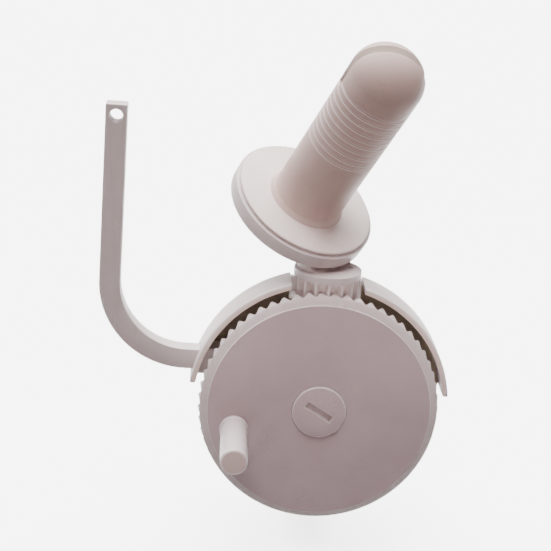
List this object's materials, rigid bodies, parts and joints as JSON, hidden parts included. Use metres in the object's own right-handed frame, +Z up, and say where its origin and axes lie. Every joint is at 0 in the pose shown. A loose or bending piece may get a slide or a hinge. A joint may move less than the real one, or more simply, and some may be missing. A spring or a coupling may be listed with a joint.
{
  "type": "yarn ball winder",
  "caption": "Hand-cranked yarn ball winder: toothed crank wheel under a hood turns a tilted, slotted spindle on a revolving head, with a hooked yarn arm and a table clamp.",
  "frame": {"origin": "centre of the upper jaw's pad, on the table top", "axes": "+Z up, the crank wheel faces -Y, the yarn arm is on the -X side"},
  "size_m": [0.1616, 0.1206, 0.2427],
  "materials": {
    "ivory_plastic": "smooth moulded, slightly satin",
    "dark_plastic": "dark matte sheet",
    "inner_plastic": "natural bearing plastic",
    "steel": "turned and plated",
    "rubber": "matte"
  },
  "bodies": {
    "frame": {"main_frame": "ivory_plastic", "hood_left": "ivory_plastic", "hood_right": "ivory_plastic", "shield_left": "dark_plastic", "shield_right": "dark_plastic", "hood_screws": "steel", "axle_screw": "ivory_plastic", "thrust_washer": "steel", "head_post": "steel", "sun_gear": "inner_plastic", "head_washer": "steel", "jaw_pad": "rubber", "clamp_nut": "steel"},
    "wheel": {"crank_wheel": "ivory_plastic", "axle_bush": "inner_plastic", "handle_pin": "steel"},
    "grip": {"handle_grip": "ivory_plastic"},
    "head": {"tilt_head": "ivory_plastic", "drive_pinion": "ivory_plastic", "post_bush": "inner_plastic", "spindle_pin": "steel", "spindle_clip": "steel"},
    "spindle": {"spindle_cone": "ivory_plastic", "spindle_gear": "inner_plastic", "gear_screws": "steel", "spindle_bush": "inner_plastic"},
    "arm": {"yarn_arm": "ivory_plastic"},
    "pad": {"clamp_pad": "ivory_plastic"},
    "screw": {"clamp_screw": "steel", "clamp_knob": "ivory_plastic"}
  },
  "joints": [
    {"name": "wheel_spin", "type": "hinge", "parent": "frame", "child": "wheel", "pos_m": [0, -0.062, 0.004], "axis": [0, 1, 0], "continuous": true},
    {"name": "grip_spin", "type": "hinge", "parent": "wheel", "child": "grip", "pos_m": [-0.038, -0.062, -0.0067], "axis": [0, 1, 0], "continuous": true},
    {"name": "head_spin", "type": "hinge", "parent": "frame", "child": "head", "pos_m": [0, -0.044, 0.0635], "axis": [0, 0, 1], "continuous": true},
    {"name": "spindle_spin", "type": "hinge", "parent": "head", "child": "spindle", "pos_m": [0, -0.044, 0.12101], "axis": [0.3543, -0.4438, 0.8231], "continuous": true},
    {"name": "arm_slide", "type": "slide", "parent": "frame", "child": "arm", "axis": [-1, 0, 0], "range_m": [0, 0.01]},
    {"name": "clamp_slide", "type": "slide", "parent": "frame", "child": "pad", "axis": [0, 0, 1], "range_m": [-0.024, 0.006]},
    {"name": "clamp_turn", "type": "hinge", "parent": "pad", "child": "screw", "pos_m": [0, 0, -0.05], "axis": [0, 0, 1], "range_deg": [-4325, 1085]}
  ],
  "couplings": [
    {"joint": "head_spin", "follows": "wheel_spin", "ratio": 4},
    {"joint": "spindle_spin", "follows": "wheel_spin", "ratio": 0.57143},
    {"joint": "clamp_turn", "follows": "clamp_slide", "rad_per_m": 3141.6}
  ]
}
